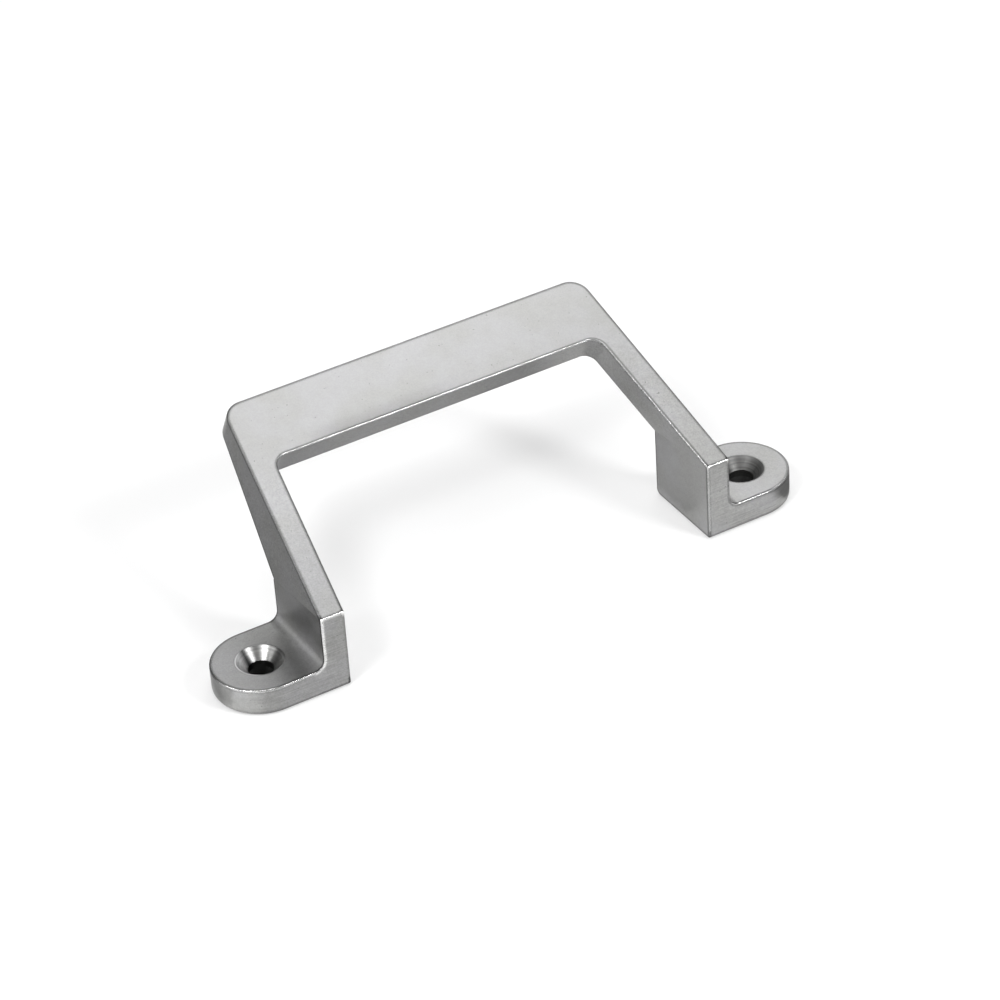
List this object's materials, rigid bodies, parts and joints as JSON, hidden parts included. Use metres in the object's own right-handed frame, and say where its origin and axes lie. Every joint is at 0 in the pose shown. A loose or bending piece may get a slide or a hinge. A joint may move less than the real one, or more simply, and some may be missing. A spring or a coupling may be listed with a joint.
{
  "type": "offset pull handle",
  "caption": "One-piece offset pull handle: a flat wedge-shaped grip on two leaning arms, raised on uprights with round-ended countersunk feet.",
  "frame": {"origin": "midway between the axes of the screw holes, on the plane that the feet rest on", "axes": "+X along the row of screw holes; +Y towards the side that the grip overhangs; +Z away from the mounting surface"},
  "size_m": [0.1352, 0.0508, 0.0393],
  "materials": {
    "cast_metal": "satin"
  },
  "bodies": {
    "root": {"pull_handle": "cast_metal"}
  },
  "joints": []
}
